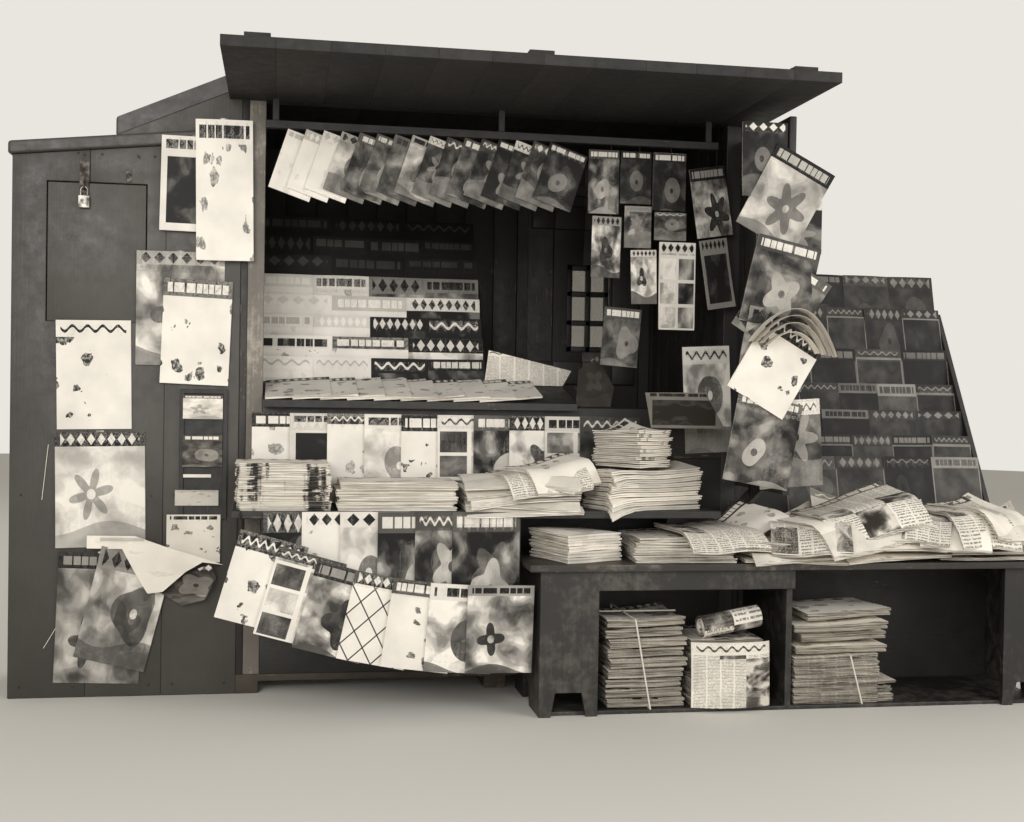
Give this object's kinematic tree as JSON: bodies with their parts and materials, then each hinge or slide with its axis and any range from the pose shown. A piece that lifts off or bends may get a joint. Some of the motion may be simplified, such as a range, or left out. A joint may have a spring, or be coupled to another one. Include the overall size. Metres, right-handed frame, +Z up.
{
  "type": "street kiosk",
  "caption": "Small wooden newsstand with an open serving front, side cabinet, stepped racks, bench and a stock of magazines and newspapers.",
  "frame": {"origin": "on the ground under the middle of the booth", "axes": "+X along the serving front to the right of someone who looks at it, -Y out of the serving front, +Z up"},
  "size_m": [3.275, 1.7368, 2.0107],
  "materials": {
    "booth_paint": "worn near-black oil paint on softwood boards",
    "cabinet_paint": "worn dark grey oil paint on softwood boards",
    "bench_paint": "scuffed dark paint on softwood boards",
    "deck_boards": "bare trodden softwood",
    "roof_boards": "tarred boards",
    "black_iron": "blackened iron",
    "door_brass": "tarnished",
    "lock_steel": "worn plated steel",
    "window_glass": "dusty window glass",
    "notice_card": "dark painted board",
    "magazine_paper": "printed cover paper",
    "newsprint": "folded newsprint"
  },
  "bodies": {
    "kiosk": {"left_wall": "booth_paint", "right_wall": "booth_paint", "back_wall_left": "booth_paint", "back_wall_right": "booth_paint", "back_wall_over_door": "booth_paint", "lintel": "booth_paint", "left_post": "booth_paint", "right_post": "booth_paint", "lower_front": "booth_paint", "counter_ledge": "booth_paint", "counter_front": "booth_paint", "upper_shelf": "booth_paint", "upper_rack": "booth_paint", "lower_rack": "booth_paint", "hanging_rail": "booth_paint", "shutter_leaf": "booth_paint", "right_rack": "booth_paint", "canopy_flap": "booth_paint", "cabinet_sides": "cabinet_paint", "cabinet_back": "cabinet_paint", "cabinet_floor": "cabinet_paint", "cabinet_front": "cabinet_paint", "cabinet_lid": "cabinet_paint", "hatch": "cabinet_paint", "gusset": "cabinet_paint", "raking_cap": "cabinet_paint", "bench_frame": "bench_paint", "bench_top": "bench_paint", "bench_back": "bench_paint", "floor_platform": "deck_boards", "roof": "roof_boards", "frame_hinges": "black_iron", "canopy_stays": "black_iron", "front_line": "black_iron", "display_wires": "black_iron", "hatch_fittings": "black_iron", "padlock": "lock_steel", "notice_boards": "notice_card", "overhead_magazines": "magazine_paper", "hanging_magazines": "magazine_paper", "upper_rack_magazines": "magazine_paper", "shelf_magazines": "magazine_paper", "counter_magazines": "magazine_paper", "counter_stacks": "magazine_paper", "lower_rack_magazines": "magazine_paper", "front_row_magazines": "magazine_paper", "wing_magazines": "magazine_paper", "leaf_magazines": "magazine_paper", "right_rack_magazines": "magazine_paper", "standing_papers": "newsprint", "bench_newspapers": "newsprint", "newspaper_bundles": "newsprint", "folded_newspapers": "newsprint"},
    "door": {"door_leaf": "booth_paint", "door_glass": "window_glass", "door_fittings": "door_brass", "door_hinges": "black_iron"}
  },
  "joints": [
    {"name": "door_hinge", "type": "hinge", "parent": "kiosk", "child": "door", "pos_m": [0.7475, 0.53, 0.9], "axis": [0, 0, -1], "range_deg": [0, 100]}
  ]
}
